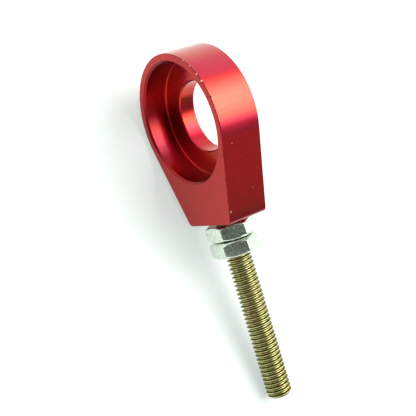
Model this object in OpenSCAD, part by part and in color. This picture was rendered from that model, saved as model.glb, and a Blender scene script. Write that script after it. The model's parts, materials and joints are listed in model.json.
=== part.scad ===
// Motorcycle chain adjuster: a flat milled block that the rear axle passes through, a threaded stud
// screwed into its base, and two thin hex nuts that set and lock the chain's tension.
// Millimetres. The origin is on the axle hole's axis, in the plane of the block's back face.
// +Y runs along the axle hole, out of the back face. The recess opens towards -Y.
// The part lies on its side: the ring and the stud's far end both touch the surface below.

/* [Block] */
// Outside diameter of the round end
ring_d = 31; // [29.5:0.5:40]
// Thickness of the block, front face to back face
block_t = 10; // [9:0.5:16]
// Distance from the axle hole's axis to the flat base
base_reach = 23.5; // [22.5:0.5:40]
// Width of the flat base, measured to its sharp corners
base_w = 16.5; // [14:0.5:26]
// Radius of the two corners of the base
corner_r = 1.2; // [0.3:0.1:3]

/* [Axle seat] */
// Diameter of the hole that the axle passes through
axle_hole_d = 16; // [10:0.5:20]
// Chamfer at both ends of the axle hole
axle_hole_chamfer = 0.25; // [0.1:0.05:0.6]
// Diameter of the recess in the front face
recess_d = 27; // [22:0.5:27.5]
// Depth of the recess
recess_depth = 6; // [2:0.5:7.5]
// Chamfer round the mouth of the recess
recess_chamfer = 0.45; // [0.1:0.05:0.6]

/* [Stud] */
// Diameter over the crests of the stud's thread
thread_d = 5.9; // [3.9:0.1:7.9]
// Pitch of the thread
thread_pitch = 1; // [0.7:0.05:1.25]
// Depth of the thread, crest to root
thread_depth = 0.6; // [0.3:0.05:0.7]
// Length of stud that stands out of the base
stud_free = 42.7; // [20:0.1:90]
// Depth that the stud is screwed into the base
stud_seat = 8; // [4:0.5:8]
// Chamfer at each end of the stud
stud_chamfer = 0.7; // [0.2:0.05:1]
// Radial gap between the stud's crests and the hole it is screwed into
seat_gap = 0.03; // [0.02:0.01:0.1]
// Countersink where that hole opens in the base
seat_countersink = 0.4; // [0.1:0.05:0.5]

/* [Nuts] */
// Distance across the flats of each nut
nut_af = 10; // [9.5:0.5:14]
// Thickness of each nut
nut_h = 3.6; // [2.4:0.1:6]
// Width of the step from the flats in to the flat ring on each face
nut_face_inset = 0.3; // [0.1:0.05:0.5]
// Angle of the corner chamfer, from the nut's face
nut_chamfer_angle = 30; // [15:1:35]
// Countersink at both ends of the nut's bore
nut_countersink = 0.35; // [0.1:0.05:0.5]
// Radial gap between the stud's crests and the nut's bore
nut_bore_gap = 0.05; // [0.02:0.01:0.1]
// Gap between the base and the adjusting nut
adjusting_nut_gap = 0.6; // [0.1:0.1:3]
// Gap between the two nuts
lock_nut_gap = 0.25; // [0.1:0.05:3]
// Turn of the adjusting nut about the stud, in degrees
adjusting_nut_turn = 57; // [0:1:59]
// Turn of the lock nut about the stud, in degrees
lock_nut_turn = 2; // [0:1:59]

/* [Hidden] */
$fn = 96;
// How far a cutter runs past the face it cuts
past = 1;
// How far the ends of the block's flats are sunk into the rounds they meet, so that the solids join cleanly
sink = 0.001;
// The stud's axis runs midway between the block's faces
stud_y = -block_t / 2;
// Where the stud starts inside the block, and its whole length
stud_start = base_reach - stud_seat;
stud_length = stud_seat + stud_free;
// The last full crest, which rests on the surface below
last_crest = base_reach + stud_free - stud_chamfer;
// Slope of the stud when the ring and the last crest touch the same surface
lean = asin(ring_d / 2 / norm([last_crest, thread_d / 2])) - atan2(thread_d / 2, last_crest);
// Angle at the axle, from the stud to the point where each flat meets the ring
tangent_angle = atan2(base_w / 2, base_reach) + acos(ring_d / 2 / norm([base_reach, base_w / 2]));
// Length that the rounding of a base corner takes off each of the two sides it joins
corner_cut = corner_r / tan(90 - tangent_angle / 2);
// Share of the pitch on each side of a groove that belongs to its crest, and half the root's share
crest_share = 1 / 16;
root_share = 1 / 12;
// Radii of the nuts' corners and bores
nut_corner_r = nut_af / 2 / cos(30);
nut_bore_r = thread_d / 2 + nut_bore_gap;
// Where each nut starts, along the stud
adjusting_nut_x = base_reach + adjusting_nut_gap;
lock_nut_x = adjusting_nut_x + nut_h + lock_nut_gap;

// Lays a piece down with the rest of the part, resting on the ring and on the end of the stud
module laid_down() {
    rotate([0, lean, 0]) children();
}

// Runs a shape that is built upwards along the stud's axis instead, starting x from the axle
module on_stud(x, turn = 0) {
    translate([x, stud_y, 0]) rotate([0, 90, 0]) rotate([0, 0, turn]) children();
}

// Round cutter along the axle's axis, from y0 to y1
module axle_cut(d, y0, y1) {
    translate([0, y1, 0]) rotate([90, 0, 0]) cylinder(h = y1 - y0, d = d);
}

// Chamfer c on the edge of a hole of diameter d, in a face at y that looks along dir
module axle_mouth(d, y, dir, c) {
    translate([0, y + dir * past, 0]) rotate([dir * 90, 0, 0])
        cylinder(h = c + past, r1 = d / 2 + c + past, r2 = d / 2);
}

// The block before it is bored: the ring, the two flats tangent to it, and the base with round corners
module blank() {
    outward = [cos(tangent_angle), sin(tangent_angle)];
    touch = (ring_d / 2 - sink) * outward;
    corner = [base_reach, base_w / 2];
    on_flat = corner + corner_cut * [-outward.y, outward.x] - sink * outward;
    on_base = corner - [0, corner_cut];
    rotate([90, 0, 0]) {
        cylinder(h = block_t, d = ring_d);
        linear_extrude(block_t) polygon([
            [0, 0], touch, on_flat, on_base,
            [on_base.x, -on_base.y], [on_flat.x, -on_flat.y], [touch.x, -touch.y]
        ]);
        for (side = [-1, 1])
            translate([base_reach - corner_r, side * on_base.y, 0]) cylinder(h = block_t, r = corner_r);
    }
}

module block() {
    seat_r = thread_d / 2 + seat_gap;
    floor_y = recess_depth - block_t;
    color("firebrick") laid_down() difference() {
        blank();
        axle_cut(axle_hole_d, -block_t - past, past);
        axle_mouth(axle_hole_d, 0, 1, axle_hole_chamfer);
        axle_mouth(axle_hole_d, floor_y, -1, axle_hole_chamfer);
        axle_cut(recess_d, -block_t - past, floor_y);
        axle_mouth(recess_d, -block_t, -1, recess_chamfer);
        on_stud(stud_start) cylinder(h = stud_seat + past, r = seat_r);
        on_stud(base_reach - seat_countersink)
            cylinder(h = seat_countersink + past, r1 = seat_r, r2 = seat_r + seat_countersink + past);
    }
}

// Half section of the stud: a chamfer at each end and one groove for each turn of the thread
module stud_section() {
    r = thread_d / 2;
    turns = floor((stud_length - 2 * stud_chamfer) / thread_pitch);
    first_turn = (stud_length - turns * thread_pitch) / 2;
    groove = [
        [crest_share, 0], [0.5 - root_share, thread_depth],
        [0.5 + root_share, thread_depth], [1 - crest_share, 0]
    ];
    polygon(concat(
        [[0, 0], [r - stud_chamfer, 0], [r, stud_chamfer]],
        [for (i = [0:turns - 1]) for (p = groove) [r - p.y, first_turn + (i + p.x) * thread_pitch]],
        [[r, stud_length - stud_chamfer], [r - stud_chamfer, stud_length], [0, stud_length]]
    ));
}

// The thread is drawn as rings at its pitch, so that every face of it is a true cone or cylinder
module stud() {
    color("darkkhaki") laid_down() on_stud(stud_start) rotate_extrude() stud_section();
}

// Thin hex nut: a hexagon whose corners are turned off at both faces, with a countersunk bore
module thin_nut() {
    face_r = nut_af / 2 - nut_face_inset;
    rim_r = nut_corner_r + nut_face_inset;
    rise = (rim_r - face_r) * tan(nut_chamfer_angle);
    mouth_r = nut_bore_r + nut_countersink;
    difference() {
        intersection() {
            cylinder(h = nut_h, r = nut_corner_r, $fn = 6);
            rotate_extrude() polygon([
                [0, 0], [face_r, 0], [rim_r, rise], [rim_r, nut_h - rise], [face_r, nut_h], [0, nut_h]
            ]);
        }
        rotate_extrude() polygon([
            [0, -past], [mouth_r + past, -past], [nut_bore_r, nut_countersink],
            [nut_bore_r, nut_h - nut_countersink], [mouth_r + past, nut_h + past], [0, nut_h + past]
        ]);
    }
}

module adjusting_nut() {
    color("lightgrey") laid_down() on_stud(adjusting_nut_x, adjusting_nut_turn) thin_nut();
}

module lock_nut() {
    color("silver") laid_down() on_stud(lock_nut_x, lock_nut_turn) thin_nut();
}

block();
stud();
adjusting_nut();
lock_nut();
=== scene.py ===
"""Looks of a motorcycle chain adjuster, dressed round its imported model.

Everything is in metres. A piece is shaped in the adjuster's own frame, where x runs along the
stud, y along the axle and z across, with the axle's axis at the origin and the back face at y = 0.
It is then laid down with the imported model: the ring and the stud's far end rest on the surface.
"""

from __future__ import annotations

import json
import logging
import math
from dataclasses import dataclass
from enum import Enum, IntEnum
from typing import Any, Callable, Sequence, Union

import bmesh
import bpy
import numpy as np
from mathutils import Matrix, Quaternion, Vector


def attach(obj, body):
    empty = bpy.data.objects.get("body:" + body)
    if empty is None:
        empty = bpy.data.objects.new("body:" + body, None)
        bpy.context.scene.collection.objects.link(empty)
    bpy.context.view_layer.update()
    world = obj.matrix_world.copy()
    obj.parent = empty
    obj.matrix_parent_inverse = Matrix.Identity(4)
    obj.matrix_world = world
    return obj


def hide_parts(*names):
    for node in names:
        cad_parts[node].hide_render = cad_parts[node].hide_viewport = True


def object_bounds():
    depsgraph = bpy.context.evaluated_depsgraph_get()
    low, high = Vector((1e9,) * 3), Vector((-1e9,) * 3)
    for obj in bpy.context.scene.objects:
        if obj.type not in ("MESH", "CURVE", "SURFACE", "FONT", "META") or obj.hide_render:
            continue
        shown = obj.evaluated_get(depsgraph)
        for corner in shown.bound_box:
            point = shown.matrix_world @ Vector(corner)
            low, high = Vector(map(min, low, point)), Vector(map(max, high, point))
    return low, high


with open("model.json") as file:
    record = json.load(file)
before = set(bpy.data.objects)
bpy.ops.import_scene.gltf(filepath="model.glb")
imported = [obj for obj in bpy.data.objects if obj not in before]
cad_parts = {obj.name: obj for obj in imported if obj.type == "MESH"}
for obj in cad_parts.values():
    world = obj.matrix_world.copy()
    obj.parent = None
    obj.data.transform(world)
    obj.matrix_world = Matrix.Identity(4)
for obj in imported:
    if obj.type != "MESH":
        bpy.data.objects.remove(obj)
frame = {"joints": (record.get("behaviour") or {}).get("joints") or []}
cad_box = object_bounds()

log = logging.getLogger("chain_adjuster")

MM = 0.001
MERGE = 0.0005 * MM
Colour = tuple[float, float, float]
Value = Union["Wire", float, int]

# Sizes that more than one piece is made to, and the gaps between the pieces
THICKNESS = 10.0 * MM
AXIS_Y = -THICKNESS / 2
BASE_REACH = 23.5 * MM
SEAT_DEPTH = 8.0 * MM
CREST_R = 2.95 * MM
NUT_HEIGHT = 3.6 * MM
SEAT_GAP = 0.03 * MM
BORE_GAP = 0.05 * MM
ADJUSTING_NUT_GAP = 0.6 * MM
LOCK_NUT_GAP = 0.25 * MM


class Slot(str, Enum):
    """The record's material slots."""

    BLOCK = "red_anodised"
    STUD = "yellow_zinc"
    NUT = "bright_zinc"


class Face(IntEnum):
    """The block's machined surfaces, in the order of its material slots.

    MATT is the front and the back. MILLED is the outer wall and its broken edges, whose dye is
    tinted round the wall as painted highlight and shade. TURNED is the axle hole with the
    recess's floor. BORED is the recess's wall and the base's tapped face, whose darker dye is
    painted shade.
    """

    MATT = 0
    MILLED = 1
    TURNED = 2
    BORED = 3


# Shader maths


class Wire:
    """A value on its way through a material, which Python's operators can work with."""

    def __init__(self, bench: "Bench", socket: bpy.types.NodeSocket) -> None:
        """Wraps an output socket of one of the bench's nodes."""
        self.bench = bench
        self.socket = socket

    def _maths(self, operation: str, *values: Value) -> "Wire":
        """Adds one Math node.

        Args:
            operation: the node's operation.
            values: its inputs, in order.

        Returns:
            The node's result.
        """
        inputs = dict(enumerate(values))
        return self.bench.wire("ShaderNodeMath", {"operation": operation}, inputs)

    def __add__(self, other: Value) -> "Wire":
        """Sum of two values."""
        return self._maths("ADD", self, other)

    def __radd__(self, other: Value) -> "Wire":
        """Sum, with the number on the left."""
        return self._maths("ADD", other, self)

    def __sub__(self, other: Value) -> "Wire":
        """Difference of two values."""
        return self._maths("SUBTRACT", self, other)

    def __rsub__(self, other: Value) -> "Wire":
        """Difference, with the number on the left."""
        return self._maths("SUBTRACT", other, self)

    def __mul__(self, other: Value) -> "Wire":
        """Product of two values."""
        return self._maths("MULTIPLY", self, other)

    def __rmul__(self, other: Value) -> "Wire":
        """Product, with the number on the left."""
        return self._maths("MULTIPLY", other, self)

    def __truediv__(self, other: Value) -> "Wire":
        """Quotient of two values."""
        return self._maths("DIVIDE", self, other)

    def __rtruediv__(self, other: Value) -> "Wire":
        """Quotient, with the number on the left."""
        return self._maths("DIVIDE", other, self)

    def largest(self, other: Value) -> "Wire":
        """The larger of two values."""
        return self._maths("MAXIMUM", self, other)

    def rise(self, low: float, high: float) -> "Wire":
        """A smooth step.

        Args:
            low: where the step is 0.
            high: where it is 1. It may lie below low, and the step then falls.

        Returns:
            The step, from 0 to 1.
        """
        flip = high < low
        names = ("From Min", "From Max", "To Min", "To Max")
        ends = (high, low, 1.0, 0.0) if flip else (low, high, 0.0, 1.0)
        inputs: dict[Any, Any] = {"Value": self, **dict(zip(names, ends))}
        return self.bench.wire("ShaderNodeMapRange", {"interpolation_type": "SMOOTHSTEP"}, inputs)


class Bench:
    """Where a node tree is put together."""

    def __init__(self, tree: bpy.types.NodeTree) -> None:
        """Clears the tree that the nodes go into."""
        self.tree = tree
        tree.nodes.clear()

    def node(self, kind: str, settings: dict[str, Any], inputs: dict[Any, Any]) -> bpy.types.Node:
        """Adds a node.

        Args:
            kind: the node's type.
            settings: its properties, which are set first. The stops of a ramp are a list of
                (place, colour) pairs under the name stops.
            inputs: a value or a wire for each socket, by name or number.

        Returns:
            The node.
        """
        made = self.tree.nodes.new(kind)
        for name, value in settings.items():
            if name == "stops":
                self._set_stops(made.color_ramp, value)
            else:
                setattr(made, name, value)
        for key, value in inputs.items():
            if isinstance(value, Wire):
                self.tree.links.new(value.socket, made.inputs[key])
            else:
                made.inputs[key].default_value = value
        return made

    def wire(
        self, kind: str, settings: dict[str, Any], inputs: dict[Any, Any], output: Any = 0
    ) -> Wire:
        """Adds a node and returns one of its outputs.

        Args:
            kind: the node's type.
            settings: its properties.
            inputs: its values and links.
            output: the name or number of the output.

        Returns:
            The output, as a wire.
        """
        return Wire(self, self.node(kind, settings, inputs).outputs[output])

    @staticmethod
    def _set_stops(ramp: bpy.types.ColorRamp, stops: Sequence[tuple[float, Colour]]) -> None:
        """Gives a ramp its stops, each a place from 0 to 1 and a colour."""
        while len(ramp.elements) < len(stops):
            ramp.elements.new(1.0)
        for element, (place, colour) in zip(ramp.elements, stops):
            element.position = place
            element.color = (*colour, 1.0)

    def place(self) -> Wire:
        """The point on the surface, in the object's coordinates."""
        return self.wire("ShaderNodeTexCoord", {}, {}, "Object")

    def grain(self, name: str) -> Wire:
        """A map that follows the surface, by its name."""
        return self.wire("ShaderNodeUVMap", {"uv_map": name}, {})

    def mask(self, name: str) -> Wire:
        """A mask that the mesh carries, by its name."""
        return self.wire("ShaderNodeAttribute", {"attribute_name": name}, {}, "Fac")

    def stretched(self, place: Wire, scale: Sequence[float]) -> Wire:
        """A place with each of its directions scaled."""
        return self.wire("ShaderNodeMapping", {}, {"Vector": place, "Scale": tuple(scale)})

    def first(self, place: Wire) -> Wire:
        """The first coordinate of a place."""
        return self.wire("ShaderNodeSeparateXYZ", {}, {0: place}, 0)

    def gap(self, place: Wire, centre: Sequence[float]) -> Wire:
        """The distance of a place from a fixed point."""
        inputs = {0: place, 1: tuple(centre)}
        return self.wire("ShaderNodeVectorMath", {"operation": "DISTANCE"}, inputs, "Value")

    def noise(self, place: Wire, scale: float, detail: float = 3.0, rough: float = 0.55) -> Wire:
        """Fractal noise.

        Args:
            place: where it is read.
            scale: how many cells there are to a unit of place.
            detail: how many finer layers lie on it.
            rough: how strong each finer layer is.

        Returns:
            A value round 0.5.
        """
        inputs = {"Vector": place, "Scale": scale, "Detail": detail, "Roughness": rough}
        return self.wire("ShaderNodeTexNoise", {}, inputs, "Fac")

    def ramp(self, value: Wire, stops: Sequence[tuple[float, Colour]]) -> Wire:
        """A colour picked by a value."""
        return self.wire("ShaderNodeValToRGB", {"stops": stops}, {"Fac": value}, "Color")

    def blend(self, share: Value, first: Any, second: Any) -> Wire:
        """Mixes two colours.

        Args:
            share: how much of the second colour there is.
            first: a colour or a wire.
            second: a colour or a wire.

        Returns:
            The mixed colour.
        """
        ends = [c if isinstance(c, Wire) else (*c, 1.0) for c in (first, second)]
        inputs = {"Factor": share, "A": ends[0], "B": ends[1]}
        made = self.node("ShaderNodeMix", {"data_type": "RGBA"}, {})
        for key, value in inputs.items():
            socket = next(s for s in made.inputs if s.name == key and s.enabled)
            if isinstance(value, Wire):
                self.tree.links.new(value.socket, socket)
            else:
                socket.default_value = value
        return Wire(self, next(s for s in made.outputs if s.enabled))

    def bump(self, height: Wire, depth: float, strength: float) -> Wire:
        """A normal bent by a height.

        Args:
            height: from 0 to 1.
            depth: what a height of 1 stands for, in metres.
            strength: the share of the effect that is used.

        Returns:
            The bent normal.
        """
        inputs = {"Height": height, "Distance": depth, "Strength": strength}
        return self.wire("ShaderNodeBump", {}, inputs, "Normal")

    def surface(self, inputs: dict[str, Any]) -> None:
        """Ends a material in one shader with these inputs."""
        shader = self.wire("ShaderNodeBsdfPrincipled", {}, inputs, "BSDF")
        self.node("ShaderNodeOutputMaterial", {}, {"Surface": shader})


def new_bench(name: str) -> tuple[bpy.types.Material, Bench]:
    """Makes an empty material and the bench that its nodes go on."""
    material = bpy.data.materials.new(name)
    material.use_nodes = True
    return material, Bench(material.node_tree)


# Meshes


@dataclass(frozen=True)
class Lie:
    """How the part lies: turned about the axle's axis until ring and stud touch the surface."""

    lean: float

    @classmethod
    def of(cls, joint: dict[str, Any]) -> "Lie":
        """Reads the lean from a nut's travel, which runs along the stud."""
        along = joint["axis"]
        return cls(math.atan2(-along[2], along[0]))

    def down(self, own: np.ndarray) -> np.ndarray:
        """Turns points of the part's own frame about y by the lean.

        Args:
            own: an array of points, with x, y and z last.

        Returns:
            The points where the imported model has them.
        """
        c, s = math.cos(self.lean), math.sin(self.lean)
        turn = np.array([[c, 0, s], [0, 1, 0], [-s, 0, c]])
        return own @ turn.T


class Skin:
    """A closed surface gathered from grids of points that meet edge to edge."""

    def __init__(self) -> None:
        """Starts with no grids."""
        self.points: list[np.ndarray] = []
        self.quads: list[np.ndarray] = []
        self.maps: list[np.ndarray] = []
        self.faces: list[np.ndarray] = []
        self.wear_and_shade: list[np.ndarray] = []
        self.count = 0

    def add(
        self,
        grid: np.ndarray,
        grain: np.ndarray,
        wear_and_shade: Union[np.ndarray, float] = 0.0,
        face: Union[np.ndarray, int] = 0,
        keep: Union[np.ndarray, None] = None,
    ) -> None:
        """Adds the quads between the neighbours of a grid.

        Args:
            grid: points, rows by columns by 3.
            grain: the map that follows the surface, rows by columns by 2.
            wear_and_shade: from 0 to 1 for each point. On the block it is how exposed the point is to
            rubbing, which also darkens its broken edges as painted shade; on the stud it is
            where the thread stays bright between the bands of painted shade.
            face: the material slot of each quad, (rows - 1) by (columns - 1).
            keep: which quads are made. All of them are if it is left out.
        """
        rows, columns = grid.shape[:2]
        index = np.arange(rows * columns).reshape(rows, columns)
        quads = np.stack([index[:-1, :-1], index[:-1, 1:], index[1:, 1:], index[1:, :-1]], -1)
        kept = np.ones(quads.shape[:2], bool) if keep is None else keep
        self.maps.append(grain.reshape(-1, 2)[quads[kept]])
        self.quads.append(quads[kept] + self.count)
        self.faces.append(np.broadcast_to(face, kept.shape)[kept])
        self.wear_and_shade.append(np.broadcast_to(wear_and_shade, (rows, columns)).ravel())
        self.points.append(grid.reshape(-1, 3))
        self.count += rows * columns

    def piece(self, name: str, lie: Lie, crease_deg: float) -> bpy.types.Object:
        """Joins the grids into one closed mesh and makes its object.

        Args:
            name: the piece's name.
            lie: how the part lies.
            crease_deg: the angle past which an edge is sharp.

        Returns:
            The object, at the origin.
        """
        mesh = bpy.data.meshes.new(name)
        quads = np.concatenate(self.quads)
        places = lie.down(np.concatenate(self.points))
        mesh.from_pydata(places.tolist(), [], quads.tolist())
        grain = mesh.uv_layers.new(name="grain")
        grain.data.foreach_set("uv", np.concatenate(self.maps).astype(np.float32).ravel())
        # One mask for rubbing and for painted shade: the block's dark edges and the stud's dark
        # thread flanks
        wear_and_shade = mesh.attributes.new("wear_and_shade", "FLOAT", "POINT")
        wear_and_shade.data.foreach_set("value", np.concatenate(self.wear_and_shade).astype(np.float32))
        mesh.polygons.foreach_set("material_index", np.concatenate(self.faces).astype(np.int32))
        joined = bmesh.new()
        joined.from_mesh(mesh)
        bmesh.ops.remove_doubles(joined, verts=joined.verts, dist=MERGE)
        bmesh.ops.dissolve_degenerate(joined, edges=joined.edges, dist=MERGE)
        loose = [v for v in joined.verts if not v.link_faces]
        bmesh.ops.delete(joined, geom=loose, context="VERTS")
        bmesh.ops.recalc_face_normals(joined, faces=joined.faces)
        joined.to_mesh(mesh)
        joined.free()
        mesh.polygons.foreach_set("use_smooth", np.ones(len(mesh.polygons), bool))
        mesh.set_sharp_from_angle(angle=math.radians(crease_deg))
        mesh.update()
        made = bpy.data.objects.new(name, mesh)
        bpy.context.scene.collection.objects.link(made)
        return made


def along_stud(x: np.ndarray, r: np.ndarray, turn: np.ndarray) -> np.ndarray:
    """Points round the stud's axis.

    A point lies x along the axis and r from it, and turn is measured from the top (+z) towards
    the front (-y): y = AXIS_Y - r sin(turn), z = r cos(turn).

    Args:
        x: distance along the stud.
        r: distance from its axis.
        turn: angle about it, in radians.

    Returns:
        The points, in the part's own frame.
    """
    x, r, turn = np.broadcast_arrays(x, r, turn)
    return np.stack([x, AXIS_Y - r * np.sin(turn), r * np.cos(turn)], -1)


def run_along(points: np.ndarray) -> np.ndarray:
    """How far along a row of points each of them lies, from the first."""
    return np.append(0.0, np.cumsum(np.linalg.norm(np.diff(points, axis=0), axis=1)))


# Finishes


@dataclass(frozen=True)
class Scar:
    """A spot where the block is knocked, in millimetres in the part's own frame."""

    place: tuple[float, float, float]
    reach: float

    def centre(self, lie: Lie) -> np.ndarray:
        """Where the spot's middle is on the part as it lies, in metres."""
        return lie.down(np.array(self.place)) * MM


@dataclass(frozen=True)
class Cut:
    """How a kind of machining leaves the dyed metal.

    Rough is the metal's roughness, and depth the depth of its marks. Shine is the weight of the
    clear skin over it, and shine_rough is that skin's own roughness.
    """

    rough: float
    depth: float
    shine: float
    shine_rough: float = 0.12


CUTS = {
    Face.MATT: Cut(rough=0.46, depth=0.004 * MM, shine=0.40, shine_rough=0.4),
    Face.MILLED: Cut(rough=0.30, depth=0.003 * MM, shine=0.65),
    Face.TURNED: Cut(rough=0.27, depth=0.003 * MM, shine=0.30),
    Face.BORED: Cut(rough=0.35, depth=0.003 * MM, shine=0.30),
}


@dataclass(frozen=True)
class RedAnodised:
    """Red dye in clear oxide over machined aluminium, with a few knocks.

    The dye's hue drifts between salmon, red, rose and crimson. Round the outer wall it is set in
    bands of painted highlight and shade: deepest at the base, brightest red on the flats, and
    salmon, rose and crimson round the ring. The recess's wall and the tapped face get a darker
    dye as painted shade. A bright scar shows bare metal, and a dark one is a knock darkened to
    near black, as the broken edges are by the share edge_shade, a painted shade. Fray is how
    ragged a spot is. Mottle and grain_show are how strongly clouds and machining marks deepen
    the dye, wander is how far noise shifts the wall's painted bands, and round_run is the way
    once round that wall.
    """

    lie: Lie
    dye: Colour = (0.54, 0.016, 0.007)
    # vivid and rose serve only the outer wall's bands of painted highlight and shade
    vivid: Colour = (0.70, 0.010, 0.012)
    crimson: Colour = (0.50, 0.008, 0.026)
    deep: Colour = (0.36, 0.005, 0.010)
    salmon: Colour = (0.56, 0.034, 0.012)
    rose: Colour = (0.52, 0.010, 0.040)
    # Painted shade: the darker dyes of the recess's wall and of the tapped face beside the nut
    bored: Colour = (0.29, 0.006, 0.007)
    shaded_plum: Colour = (0.25, 0.003, 0.019)
    bare: Colour = (0.82, 0.60, 0.50)
    # Dark for the knocks, and for the broken edges as painted shade
    bruise_and_edge_shade: Colour = (0.07, 0.012, 0.012)
    bright_scars: tuple[Scar, ...] = (
        Scar((-12.70, -9.97, 8.95), 0.15),
        Scar((-11.16, -9.97, 10.68), 0.15),
        Scar((-9.19, -9.97, 12.38), 0.20),
        Scar((-7.55, -9.97, 13.46), 0.28),
        Scar((20.65, -9.50, 9.24), 0.30),
        Scar((6.45, -7.56, 14.17), 0.12),
        Scar((13.33, -1.57, 11.78), 0.10),
        Scar((17.25, -3.08, 10.42), 0.10),
    )
    dark_scars: tuple[Scar, ...] = (
        Scar((-7.20, -9.97, 13.66), 0.26),
        Scar((-3.95, -9.97, 14.93), 0.28),
        Scar((8.30, -9.97, 13.50), 0.22),
        Scar((13.50, -9.97, 11.68), 0.26),
        Scar((18.10, -9.97, 10.08), 0.24),
    )
    fray: float = 2.2
    # How far the broken edges are darkened, as painted shade
    edge_shade: float = 0.5
    mottle: float = 0.9
    grain_show: float = 0.4
    wander: float = 0.03
    round_run: float = 114.0 * MM

    @property
    def bands(self) -> list[tuple[float, Colour]]:
        """Painted highlight and shade along the outer wall, from the base's middle all the way round.
        """
        return [
            (0.000, self.deep), (0.078, self.deep), (0.092, self.dye), (0.140, self.vivid),
            (0.235, self.vivid), (0.250, self.rose), (0.268, self.rose), (0.280, self.salmon),
            (0.325, self.salmon), (0.350, self.dye), (0.368, self.rose), (0.400, self.rose),
            (0.430, self.salmon), (0.550, self.crimson), (0.660, self.salmon), (0.740, self.rose),
            (0.800, self.dye), (0.900, self.crimson), (0.922, self.deep), (1.000, self.deep),
        ]

    def material(self, face: Face) -> bpy.types.Material:
        """Makes the material of one kind of machined surface.

        Args:
            face: which surface it is for.

        Returns:
            The material.
        """
        material, bench = new_bench(f"red_anodised_{face.name.lower()}")
        place, cut = bench.place(), CUTS[face]
        grain, tint = self._grain(bench, face), self._tint(bench, face)
        clouds = bench.noise(place, 170.0, 3.0)
        ragged = bench.noise(place, 3200.0, 2.0)
        scars = self._knocks(bench, place, ragged, self.bright_scars)
        chips = scars.largest(self._specks(bench, place))
        nicks = self._knocks(bench, place, ragged, self.dark_scars)
        # Dark knocks, with painted shade along the broken edges where the mask is high
        nicks_and_edge_shade = nicks.largest(bench.mask("wear_and_shade").rise(0.75, 1.0) * self.edge_shade)
        deepened = (clouds - 0.5) * self.mottle + grain * self.grain_show
        dyed = bench.blend(deepened, tint, self.deep)
        inputs = {
            "Base Color": bench.blend(chips, bench.blend(nicks_and_edge_shade, dyed, self.bruise_and_edge_shade), self.bare),
            "Metallic": 1.0,
            "Roughness": cut.rough + (grain - 0.5) * 0.2 + (clouds - 0.5) * 0.12,
            "Coat Weight": (1 - chips.largest(nicks_and_edge_shade)) * cut.shine,
            "Coat Roughness": cut.shine_rough,
            "Coat IOR": 1.5,
            "Normal": bench.bump(grain, cut.depth, 0.6),
        }
        bench.surface(inputs)
        return material

    def _grain(self, bench: Bench, face: Face) -> Wire:
        """Draws the marks that the machining leaves.

        Args:
            bench: where the nodes go.
            face: which surface it is for.

        Returns:
            The marks' height, round 0.5: fine pits on the matt faces, strokes across the milled
            wall, and lines round the axle on the other faces.
        """
        if face is Face.MATT:
            return bench.noise(bench.place(), 2600.0, 2.0)
        lines = bench.grain("grain")
        if face is Face.MILLED:
            return bench.noise(bench.stretched(lines, (2600.0, 90.0, 1.0)), 1.0, 3.0, 0.6)
        return bench.noise(bench.stretched(lines, (60.0, 6500.0, 1.0)), 1.0, 4.0, 0.7)

    def _tint(self, bench: Bench, face: Face) -> Wire:
        """Picks the dye's hue.

        Args:
            bench: where the nodes go.
            face: which surface it is for.

        Returns:
            The colour: even on the matt faces; on the outer wall, bands of painted highlight and
            shade; soft random bands on the turned faces; and a darker dye as painted shade on the
            recess's wall and the tapped face.
        """
        if face is Face.MATT:
            return bench.blend(0.3, self.dye, self.deep)
        lines = bench.grain("grain")
        bands = bench.noise(bench.stretched(lines, (95.0, 22.0, 1.0)), 1.0, 2.0)
        if face is Face.MILLED:
            # Painted highlight and shade: the hue is picked by the place round the outer wall
            around = bench.first(lines) / self.round_run
            return bench.ramp(around + (bands - 0.5) * self.wander, self.bands)
        if face is Face.TURNED:
            return bench.blend(bands.rise(0.42, 0.60), self.salmon, self.crimson)
        # Painted shade: the recess's wall and the tapped face take a darker dye
        return bench.blend(bands.rise(0.46, 0.64), self.bored, self.shaded_plum)

    def _knocks(self, bench: Bench, place: Wire, ragged: Wire, scars: Sequence[Scar]) -> Wire:
        """Marks ragged spots round the scars' centres.

        Args:
            bench: where the nodes go.
            place: the point on the surface.
            ragged: noise that frays the spots.
            scars: the spots.

        Returns:
            1 inside a spot and 0 outside.
        """
        total: Union[Wire, None] = None
        for scar in scars:
            gap = bench.gap(place, scar.centre(self.lie)) / (scar.reach * MM)
            spot = (gap + (ragged - 0.5) * self.fray).rise(1.0, 0.75)
            total = spot if total is None else total.largest(spot)
        return total

    @staticmethod
    def _specks(bench: Bench, place: Wire) -> Wire:
        """Specks along the edges where the dye is rubbed off."""
        specks = bench.noise(place, 900.0, 2.0).rise(0.68, 0.74)
        return bench.mask("wear_and_shade").rise(0.5, 0.95) * specks


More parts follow.
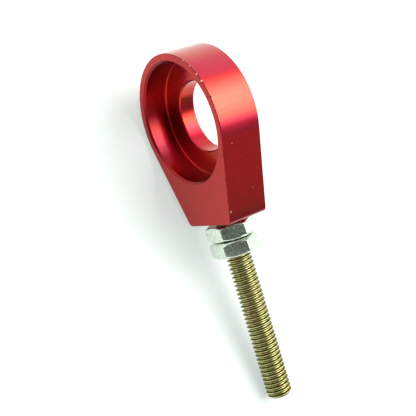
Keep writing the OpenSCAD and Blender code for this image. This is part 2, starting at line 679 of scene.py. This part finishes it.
@dataclass(frozen=True)
class YellowZinc:
    """Zinc plating with a yellow passivation, clouded from olive to rust.

    Two lines along each turn of the thread keep the plating's colour, which the mask gives, and
    the rest of the thread is darkened to a near-black olive as painted shade.
    """

    gold: Colour = (0.56, 0.52, 0.19)
    olive: Colour = (0.37, 0.45, 0.13)
    rust: Colour = (0.52, 0.29, 0.16)
    pale: Colour = (0.66, 0.63, 0.36)
    # Painted shade on the thread between its bright lines
    flank_shade: Colour = (0.110, 0.100, 0.014)

    def material(self) -> bpy.types.Material:
        """Makes the material."""
        material, bench = new_bench("yellow_zinc")
        place = bench.place()
        clouds = bench.noise(place, 520.0, 3.0, 0.65)
        specks = bench.noise(place, 2400.0, 2.0)
        hue = clouds * 0.7 + specks * 0.3
        stops = [
            (0.40, self.olive), (0.46, self.gold), (0.51, self.pale), (0.56, self.gold),
            (0.62, self.rust),
        ]
        inputs = {
            # Painted shade: the mask darkens the thread between its two bright lines
            "Base Color": bench.blend(bench.mask("wear_and_shade"), self.flank_shade, bench.ramp(hue, stops)),
            "Metallic": 1.0,
            "Roughness": 0.30 + specks * 0.12,
            "Normal": bench.bump(specks, 0.006 * MM, 0.5),
        }
        bench.surface(inputs)
        return material


@dataclass(frozen=True)
class BrightZinc:
    """Zinc plating with a clear passivation, faintly clouded and frosted."""

    light: Colour = (0.83, 0.89, 0.80)
    dull: Colour = (0.64, 0.75, 0.63)

    def material(self) -> bpy.types.Material:
        """Makes the material."""
        material, bench = new_bench("bright_zinc")
        place = bench.place()
        clouds = bench.noise(place, 900.0, 5.0, 0.75)
        specks = bench.noise(place, 2400.0, 2.0)
        frost = bench.noise(place, 1700.0, 3.0, 0.6).rise(0.42, 0.72)
        inputs = {
            "Base Color": bench.blend(clouds.rise(0.36, 0.62), self.light, self.dull),
            "Metallic": 1.0,
            "Roughness": 0.18 + clouds * 0.08 + frost * 0.08,
            "Normal": bench.bump(clouds + specks * 0.3, 0.02 * MM, 0.6),
        }
        bench.surface(inputs)
        return material


# The block


@dataclass(frozen=True)
class Outline:
    """The block's outline seen along the axle, point by point from the base's middle round.

    Each point has its place, the way that is outward there, and how far round it is. On_base
    tells for each stretch between two points whether it is on the flat of the base.
    """

    place: np.ndarray
    outward: np.ndarray
    run: np.ndarray
    on_base: np.ndarray

    def inset(self, depth: float, y: float) -> np.ndarray:
        """The outline moved inwards along its own normals, at a height y."""
        flat = self.place - depth * self.outward
        return np.stack([flat[:, 0], np.full(len(flat), y), flat[:, 1]], -1)

    def circle(self, r: float, y: float) -> np.ndarray:
        """A circle round the axle, with a point on each ray from the axis to the outline."""
        rays = self.place / np.linalg.norm(self.place, axis=1)[:, None]
        return np.stack([r * rays[:, 0], np.full(len(rays), y), r * rays[:, 1]], -1)


@dataclass(frozen=True)
class Loop:
    """A row of the block's skin, and the face that lies between it and the next row.

    Its shape is either a circle of radius size, or the outline moved inwards by size.
    """

    shape: Callable[[Outline, float, float], np.ndarray]
    size: float
    y: float
    face: Face
    wear_and_shade: float = 0.0

    def points(self, outline: Outline) -> np.ndarray:
        """The row's points."""
        return self.shape(outline, self.size, self.y)


@dataclass
class Block:
    """The milled body: a ring with a recessed axle seat, two flats and a base with a tapped hole.

    Hold is how far a row lies from the start of a bend, which keeps the shading of the surface
    beside it flat.
    """

    lie: Lie
    ring_r: float = 15.5 * MM
    thickness: float = THICKNESS
    base_reach: float = BASE_REACH
    base_w: float = 16.5 * MM
    corner_r: float = 1.2 * MM
    hole_r: float = 8.0 * MM
    hole_chamfer: float = 0.25 * MM
    recess_r: float = 13.5 * MM
    recess_depth: float = 6.0 * MM
    recess_chamfer: float = 0.45 * MM
    recess_fillet: float = 0.3 * MM
    edge_r: float = 0.16 * MM
    hold: float = 0.04 * MM
    seat_r: float = CREST_R + SEAT_GAP
    seat_depth: float = SEAT_DEPTH
    seat_countersink: float = 0.4 * MM
    # The mask's value on each row; on the broken edges it also sets their painted shade
    edge_wear_and_shade: float = 1.0
    face_wear: float = 0.7
    mouth_wear: float = 0.4
    crease_deg: float = 32.0
    ring_steps: int = 240
    flat_steps: int = 14
    corner_steps: int = 8
    base_steps: int = 12
    arc_steps: int = 4
    wall_steps: int = 8

    @property
    def touch(self) -> float:
        """The angle at the axle, from the stud to the point where a flat meets the ring."""
        half_w = self.base_w / 2
        reach = math.hypot(self.base_reach, half_w)
        return math.atan2(half_w, self.base_reach) + math.acos(self.ring_r / reach)

    @property
    def corner_cut(self) -> float:
        """The length that a base corner's rounding takes off each of the two sides it joins."""
        return self.corner_r * math.tan(self.touch / 2)

    @property
    def margin(self) -> float:
        """How far the flat of a face or wall starts from the edges that it would have if sharp."""
        return self.edge_r + self.hold

    @property
    def wall_y(self) -> np.ndarray:
        """Where the rows of the outer wall lie, between its two broken edges."""
        return np.linspace(self.margin - self.thickness, -self.margin, self.wall_steps + 1)

    def outline(self) -> Outline:
        """Works out the outline.

        The ring is R (cos a, sin a). A flat is the tangent from the ring to the base's corner,
        and each corner is rounded by a circle that touches the flat and the base. The half from
        the base's middle to the ring's far side is worked out and then mirrored.

        Returns:
            The outline, closed: its last point is its first.
        """
        touch, cut = self.touch, self.corner_cut
        corner = np.array([self.base_reach, self.base_w / 2])
        run_dir = np.array([-math.sin(touch), math.cos(touch)])
        on_flat = corner + cut * run_dir
        centre = corner - np.array([self.corner_r, cut])
        base_z = np.linspace(0.0, centre[1], self.base_steps // 2 + 1)
        base = np.stack([np.full(len(base_z), self.base_reach), base_z], -1)
        turn = np.linspace(0.0, touch, self.corner_steps + 1)[1:]
        bend = centre + self.corner_r * np.stack([np.cos(turn), np.sin(turn)], -1)
        on_ring = self.ring_r * np.array([math.cos(touch), math.sin(touch)])
        length = np.linalg.norm(on_ring - on_flat)
        flat_run = np.linspace(0.0, length, self.flat_steps + 1)[1:]
        flat = on_flat + flat_run[:, None] * run_dir
        sweep = np.linspace(touch, math.pi, self.ring_steps // 2 + 1)[1:]
        ring = self.ring_r * np.stack([np.cos(sweep), np.sin(sweep)], -1)
        angle = np.concatenate([np.zeros(len(base)), turn, np.full(len(flat), touch), sweep])
        place = np.concatenate([base, bend, flat, ring])
        outward = np.stack([np.cos(angle), np.sin(angle)], -1)
        flip = np.array([1.0, -1.0])
        place = np.concatenate([place, place[-2::-1] * flip])
        outward = np.concatenate([outward, outward[-2::-1] * flip])
        on_base = np.abs(place[:, 0] - self.base_reach) < MERGE
        return Outline(place, outward, run_along(place), on_base[1:] & on_base[:-1])

    def section(self) -> list[Loop]:
        """Lists the rows that the block's skin runs through.

        Returns:
            The rows, from the axle hole's back edge through the hole, over the recess's floor and
            wall, across the front, down the outer wall and over the back to where they started.
        """
        front, floor = -self.thickness, self.recess_depth - self.thickness
        chamfer, mouth = self.hole_chamfer, self.recess_chamfer
        fillet, edge = self.recess_fillet, self.edge_r
        circle, inset = Outline.circle, Outline.inset
        arc = np.linspace(0.0, math.pi / 2, self.arc_steps + 1)
        bend = [(1 - math.sin(a), 1 - math.cos(a)) for a in arc]
        return [
            Loop(circle, self.hole_r + chamfer, 0.0, Face.TURNED),
            Loop(circle, self.hole_r, -chamfer, Face.TURNED),
            Loop(circle, self.hole_r, floor + chamfer, Face.TURNED),
            Loop(circle, self.hole_r + chamfer, floor, Face.TURNED),
            Loop(circle, self.recess_r - fillet - self.hold, floor, Face.TURNED),
            *(
                Loop(circle, self.recess_r - fillet * s, floor - fillet * c, Face.TURNED)
                for s, c in bend
            ),
            # The recess's wall is dyed darker as painted shade
            Loop(circle, self.recess_r, floor - fillet - self.hold, Face.BORED),
            Loop(circle, self.recess_r, front + mouth, Face.BORED),
            Loop(circle, self.recess_r + mouth, front, Face.MATT, self.mouth_wear),
            Loop(inset, self.margin, front, Face.MATT, self.face_wear),
            *(Loop(inset, edge * s, front + edge * c, Face.MILLED, self.edge_wear_and_shade) for s, c in bend),
            *(Loop(inset, 0.0, y, Face.MILLED) for y in self.wall_y),
            *(Loop(inset, edge * c, -edge * s, Face.MILLED, self.edge_wear_and_shade) for s, c in bend),
            Loop(inset, self.margin, 0.0, Face.MATT, self.face_wear),
            Loop(circle, self.hole_r + chamfer, 0.0, Face.TURNED),
        ]

    def build(self, finish: RedAnodised) -> bpy.types.Object:
        """Makes the block and dresses it.

        Args:
            finish: its finish.

        Returns:
            The piece.
        """
        outline, loops = self.outline(), self.section()
        grid = np.stack([loop.points(outline) for loop in loops])
        grain = np.stack(np.broadcast_arrays(outline.run, run_along(grid[:, 0])[:, None]), -1)
        wear_and_shade = np.array([[loop.wear_and_shade] for loop in loops])
        face = np.array([[int(loop.face)] for loop in loops[:-1]])
        y = np.array([loop.y for loop in loops])
        flat = (y > self.margin - MERGE - self.thickness) & (y < MERGE - self.margin)
        wall = flat[:-1] & flat[1:] & (face[:, 0] == Face.MILLED)
        skin = Skin()
        skin.add(grid, grain, wear_and_shade, face, keep=~(wall[:, None] & outline.on_base))
        self._tap(skin)
        block = skin.piece("block_body", self.lie, self.crease_deg)
        for kind in Face:
            block.data.materials.append(finish.material(kind))
        return block

    def _tap(self, skin: Skin) -> None:
        """Adds the base's flat face, and in it the countersunk hole that the stud is screwed into.

        Each ring of points has one on every ray from the stud's axis to the edge of the flat:
        first that edge, then the countersink's mouth, the hole's mouth, its bottom and its middle.

        Args:
            skin: the block's surface, open where the flat goes.
        """
        half_w, wall_y = self.base_w / 2 - self.corner_cut, self.wall_y
        flat_z = np.linspace(-half_w, half_w, self.base_steps + 1)
        sides = [
            (np.full(len(flat_z), wall_y[0]), flat_z),
            (wall_y, np.full(len(wall_y), half_w)),
            (np.full(len(flat_z), wall_y[-1]), flat_z[::-1]),
            (wall_y[::-1], np.full(len(wall_y), -half_w)),
        ]
        edge = np.concatenate([np.stack(side, -1)[:-1] for side in sides])
        edge = np.concatenate([edge, edge[:1]])
        centre = np.array([AXIS_Y, 0.0])
        ray = (edge - centre) / np.linalg.norm(edge - centre, axis=1)[:, None]
        mouth_r = self.seat_r + self.seat_countersink
        rings = [
            (edge, self.base_reach),
            (centre + mouth_r * ray, self.base_reach),
            (centre + self.seat_r * ray, self.base_reach - self.seat_countersink),
            (centre + self.seat_r * ray, self.base_reach - self.seat_depth),
            (centre + 0 * ray, self.base_reach - self.seat_depth),
        ]
        grid = np.stack([np.insert(yz, 0, x, axis=1) for yz, x in rings])
        # The tapped face takes the recess's darker dye as painted shade
        skin.add(grid, grid[..., [2, 1]], face=int(Face.BORED))


# The stud


@dataclass
class Stud:
    """The threaded rod, with one right-hand helix from end to end.

    Half a pitch of the thread is drawn by stations, from the middle of a crest to the middle of
    the root: share is how far along the pitch each one is, and sink how deep. The lists unshaded_at
    and worn give in the same way, over the whole pitch, the two bright lines of each turn: the
    crest, and the lower part of the flank that looks towards the block. Between them the thread
    is darkened as painted shade. Snap is a share of the pitch too.
    """

    lie: Lie
    start: float = BASE_REACH - SEAT_DEPTH
    length: float = SEAT_DEPTH + 42.7 * MM
    crest_r: float = CREST_R
    depth: float = 0.6 * MM
    pitch: float = 1.0 * MM
    chamfer: float = 0.7 * MM
    share: tuple[float, ...] = (0.0, 0.04, 0.08, 0.13, 0.20, 0.27, 0.32, 0.36, 0.43, 0.50)
    sink: tuple[float, ...] = (0.0, 0.004, 0.05, 0.20, 0.50, 0.80, 0.95, 0.995, 1.0, 1.0)
    # Painted shade: where each turn stays bright (1) and where it is darkened (0)
    unshaded_at: tuple[float, ...] = (0.06, 0.12, 0.50, 0.57, 0.70, 0.76, 0.87, 0.92)
    unshaded: tuple[float, ...] = (1.0, 0.0, 0.0, 1.0, 1.0, 0.0, 0.0, 1.0)
    end_unshaded: float = 0.75
    snap: float = 0.045
    crease_deg: float = 42.0
    around: int = 64

    def build(self, finish: YellowZinc) -> bpy.types.Object:
        """Makes the stud and dresses it.

        Station k of turn n lies at s = pitch (n + share + turn / 2 pi) along the stud, so every
        row of the grid is a helix, and the last column meets the first one turn further on. A
        point nearer than snap to an end is moved onto it, which leaves no slivers there.

        The radius is the crest's less the station's depth, and at most what the end's chamfer
        leaves: end radius plus the distance to the end. Past the end x stays there while that
        same limit falls to nothing, which closes the end with a flat disc. What the chamfer
        cuts gets a light, even share of the painted shade.

        Args:
            finish: its finish.

        Returns:
            The piece.
        """
        half_share, half_sink = np.array(self.share), np.array(self.sink)
        share = np.concatenate([half_share, 1 - half_share[-2:0:-1]])
        end_r = self.crest_r - self.chamfer
        spare = math.ceil(end_r / self.pitch) + 1
        turns = math.ceil(self.length / self.pitch) + 2 * spare
        base = (np.arange(turns)[:, None] - spare + share).ravel()
        sink = np.tile(np.concatenate([half_sink, half_sink[-2:0:-1]]), turns)
        # Where each turn stays bright and where it gets painted shade
        unshaded = np.tile(np.interp(share, self.unshaded_at, self.unshaded), turns)
        turn = np.linspace(0.0, 2 * math.pi, self.around + 1)
        s = self.pitch * (base[:, None] + turn / (2 * math.pi))
        for end in (0.0, self.length):
            s = np.where(np.abs(s - end) < self.snap * self.pitch, end, s)
        thread_r = self.crest_r - self.depth * sink[:, None]
        r = np.clip(end_r + np.minimum(s, self.length - s), 0.0, thread_r)
        grid = along_stud(self.start + np.clip(s, 0.0, self.length), r, turn)
        grain = np.stack([s, np.broadcast_to(turn * self.crest_r, s.shape)], -1)
        skin = Skin()
        # The chamfered ends get an even, light share of the painted shade
        skin.add(grid, grain, np.where(r < thread_r, self.end_unshaded, unshaded[:, None]))
        stud = skin.piece("threaded_stud", self.lie, self.crease_deg)
        stud.data.materials.append(finish.material())
        return stud


# The nuts


@dataclass
class ThinNut:
    """A thin hex nut with its corners turned off at both faces and a countersunk bore."""

    lie: Lie
    name: str
    start: float
    turn_deg: float
    af: float = 10.0 * MM
    height: float = NUT_HEIGHT
    face_inset: float = 0.3 * MM
    chamfer_deg: float = 30.0
    bore_r: float = CREST_R + BORE_GAP
    countersink: float = 0.35 * MM
    corner_r: float = 0.5 * MM
    edge_w: float = 0.16 * MM
    crease_deg: float = 24.0
    flat_steps: int = 10
    bend_steps: int = 6
    arc_steps: int = 4

    def hexagon(self) -> tuple[np.ndarray, np.ndarray]:
        """Works out the hexagon with its corners rounded, round the nut's axis.

        Side k faces the angle 60 (k + 1/2) degrees. Its flat runs (af / 2 - corner radius) tan 30
        either way from its middle, and an arc of 60 degrees joins it to the next side.

        Returns:
            The angle and the distance from the axis of each point. The last point is the first.
        """
        apothem = self.af / 2
        half = (apothem - self.corner_r) * math.tan(math.pi / 6)
        along = np.linspace(-half, half, self.flat_steps + 1)
        flat = np.stack([np.full(len(along), apothem), along], -1)
        turn = np.linspace(0.0, math.pi / 3, self.bend_steps + 1)[1:-1]
        bend = np.stack([np.cos(turn), np.sin(turn)], -1) * self.corner_r
        bend = bend + np.array([apothem - self.corner_r, half])
        side = np.concatenate([flat, bend])
        angle = np.arctan2(side[:, 1], side[:, 0])
        faces = (np.arange(6)[:, None] + 0.5) * math.pi / 3
        turned = (faces + angle).ravel()
        reach = np.tile(np.linalg.norm(side, axis=1), 6)
        return np.append(turned, turned[0] + 2 * math.pi), np.append(reach, reach[0])

    def rim(self, reach: np.ndarray) -> list[tuple[np.ndarray, np.ndarray]]:
        """Lists the rows from the flat ring of a face, over the corner chamfer, to the sides.

        The chamfer's cone meets a side at (reach - face radius) tan(chamfer) from the face. That
        edge is broken by a curve, a Bezier arc with the edge itself as its middle point.

        Args:
            reach: each point's distance from the axis.

        Returns:
            For each row the distances from the axis and from the face.
        """
        face_r = self.af / 2 - self.face_inset
        slope = math.tan(math.radians(self.chamfer_deg))
        drop = (reach - face_r) * slope
        above = (reach - self.edge_w, drop - self.edge_w * slope)
        below = (reach, drop + self.edge_w)
        rows = [(np.full(len(reach), face_r), np.zeros(len(reach)))]
        for t in np.linspace(0.0, 1.0, self.arc_steps + 1):
            shares = ((1 - t) ** 2, 2 * t * (1 - t), t**2)
            points = (above, (reach, drop), below)
            rows.append(tuple(sum(w * p[i] for w, p in zip(shares, points)) for i in range(2)))
        return rows

    def build(self, finish: BrightZinc) -> bpy.types.Object:
        """Makes the nut and dresses it.

        Args:
            finish: its finish.

        Returns:
            The piece.
        """
        turn, reach = self.hexagon()
        level = np.ones(len(turn))
        rim = self.rim(reach)
        mouth = ((self.bore_r + self.countersink) * level, 0 * level)
        bore = (self.bore_r * level, self.countersink * level)
        half = [bore, mouth, *rim]
        rows = half + [(r, self.height - x) for r, x in reversed(half)] + [bore]
        r = np.stack([row[0] for row in rows])
        x = self.start + np.stack([row[1] for row in rows])
        angle = turn + math.radians(self.turn_deg)
        grid = along_stud(x, r, angle)
        grain = np.stack(np.broadcast_arrays(turn * self.af / 2, x), -1)
        skin = Skin()
        skin.add(grid, grain)
        nut = skin.piece(self.name, self.lie, self.crease_deg)
        nut.data.materials.append(finish.material())
        return nut


# The studio


@dataclass(frozen=True)
class Softbox:
    """A soft patch of light in the surroundings, or a dark card where its strength is negative.

    Toward points at it, half_angle is its reach in degrees, and it fades by edge degrees to
    either side of that.
    """

    toward: tuple[float, float, float]
    half_angle: float
    edge: float
    strength: float
    tint: Colour = (1.0, 1.0, 1.0)


@dataclass
class Studio:
    """The pale surface, the soft light and the camera at the photograph's viewing angle.

    Stand and aim are where the camera is and what it looks at, in millimetres. Room is the even
    light round the soft boxes.
    """

    floor_z: float
    stand: tuple[float, float, float] = (24.14, -113.52, 171.37)
    aim: tuple[float, float, float] = (19.35, -11.34, 0.0)
    roll_deg: float = 65.15
    lens: float = 79.93
    sensor: float = 36.0
    nearest: float = 5.0 * MM
    floor_size: float = 4.0
    floor_colour: Colour = (0.42, 0.43, 0.43)
    floor_rough: float = 0.7
    floor_tint: Colour = (0.88, 1.0, 0.96)
    floor_glow: float = 0.49
    room: float = 0.3
    boxes: tuple[Softbox, ...] = (
        Softbox((-0.06, 0.58, 0.81), 22.0, 14.5, 5.2, (1.0, 0.985, 0.95)),
        Softbox((-0.08, 0.20, 0.97), 18.0, 12.0, 3.6, (1.0, 0.985, 0.95)),
        Softbox((-0.85, 0.40, 0.20), 34.0, 16.0, 1.05, (1.0, 0.96, 1.0)),
        Softbox((0.10, 1.00, 0.03), 22.0, 10.0, 0.8, (0.97, 1.0, 1.0)),
        Softbox((0.28, -0.28, 0.92), 20.0, 12.0, -0.27, (1.0, 0.94, 1.0)),
        Softbox((0.85, -0.50, 0.15), 26.0, 14.0, 1.1),
        Softbox((-0.75, -0.50, 0.35), 24.0, 14.0, 1.0),
    )

    def build(self) -> None:
        """Sets up the surface, the light and the camera."""
        self._floor()
        self._light()
        self._camera()

    def _floor(self) -> None:
        """Lays a plain pale surface under the part."""
        half = self.floor_size / 2
        corners = np.array([[-half, -half], [half, -half], [half, half], [-half, half]])
        mesh = bpy.data.meshes.new("surface")
        places = np.column_stack([corners, np.full(4, self.floor_z)])
        mesh.from_pydata(places.tolist(), [], [[0, 1, 2, 3]])
        floor = bpy.data.objects.new("surface", mesh)
        bpy.context.scene.collection.objects.link(floor)
        material, bench = new_bench("pale_surface")
        bench.surface({
            "Base Color": (*self.floor_colour, 1.0),
            "Roughness": self.floor_rough,
            "Emission Color": (*self.floor_tint, 1.0),
            "Emission Strength": self.floor_glow,
        })
        mesh.materials.append(material)

    def _light(self) -> None:
        """Lights the room: an even level, and soft boxes that fall off smoothly at their edges."""
        world = bpy.data.worlds.new("studio")
        world.use_nodes = True
        bpy.context.scene.world = world
        bench = Bench(world.node_tree)
        toward = bench.wire("ShaderNodeTexCoord", {}, {}, "Generated")
        light = bench.wire("ShaderNodeCombineXYZ", {}, {n: self.room for n in range(3)})
        for box in self.boxes:
            centre = Vector(box.toward).normalized()
            inputs = {0: toward, 1: tuple(centre)}
            facing = bench.wire("ShaderNodeVectorMath", {"operation": "DOT_PRODUCT"}, inputs, "Value")
            outer = math.cos(math.radians(box.half_angle + box.edge))
            inner = math.cos(math.radians(max(box.half_angle - box.edge, 0.0)))
            inputs = {0: tuple(box.tint), "Scale": facing.rise(outer, inner) * box.strength}
            glow = bench.wire("ShaderNodeVectorMath", {"operation": "SCALE"}, inputs)
            light = bench.wire("ShaderNodeVectorMath", {"operation": "ADD"}, {0: light, 1: glow})
        shade = bench.wire("ShaderNodeBackground", {}, {"Color": light}, "Background")
        bench.node("ShaderNodeOutputWorld", {}, {"Surface": shade})
        bpy.context.scene.view_settings.view_transform = "Standard"

    def _camera(self) -> None:
        """Puts the camera where the photograph was taken from."""
        data = bpy.data.cameras.new("camera")
        data.lens = self.lens
        data.sensor_width = self.sensor
        data.clip_start = self.nearest
        camera = bpy.data.objects.new("camera", data)
        bpy.context.scene.collection.objects.link(camera)
        stand = Vector(self.stand) * MM
        look = (Vector(self.aim) * MM - stand).to_track_quat("-Z", "Y")
        roll = Quaternion((0.0, 0.0, 1.0), math.radians(self.roll_deg))
        camera.location = stand
        camera.rotation_mode = "QUATERNION"
        camera.rotation_quaternion = look @ roll
        bpy.context.scene.camera = camera


def main() -> None:
    """Builds the studio and the pieces, in order, and notes the size of the result."""
    logging.basicConfig(level=logging.INFO, format="%(name)s: %(message)s")
    Studio(floor_z=cad_box[0].z).build()
    lie = Lie.of(frame["joints"][0])
    zinc = BrightZinc()
    adjusting_x = BASE_REACH + ADJUSTING_NUT_GAP
    locking_x = adjusting_x + NUT_HEIGHT + LOCK_NUT_GAP
    adjusting = ThinNut(lie, "adjusting_hex_nut", adjusting_x, turn_deg=57.0)
    locking = ThinNut(lie, "locking_hex_nut", locking_x, turn_deg=2.0)
    made = [
        (Block(lie).build(RedAnodised(lie)), "block", "block", Slot.BLOCK),
        (Stud(lie).build(YellowZinc()), "stud", "block", Slot.STUD),
        (adjusting.build(zinc), "adjusting_nut", "adjusting_nut", Slot.NUT),
        (locking.build(zinc), "lock_nut", "lock_nut", Slot.NUT),
    ]
    for piece, node, body, slot in made:
        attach(piece, body)
        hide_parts(node)
        log.info("%s stands for %s: %d faces", piece.name, node, len(piece.data.polygons))


if __name__ == "__main__":
    main()
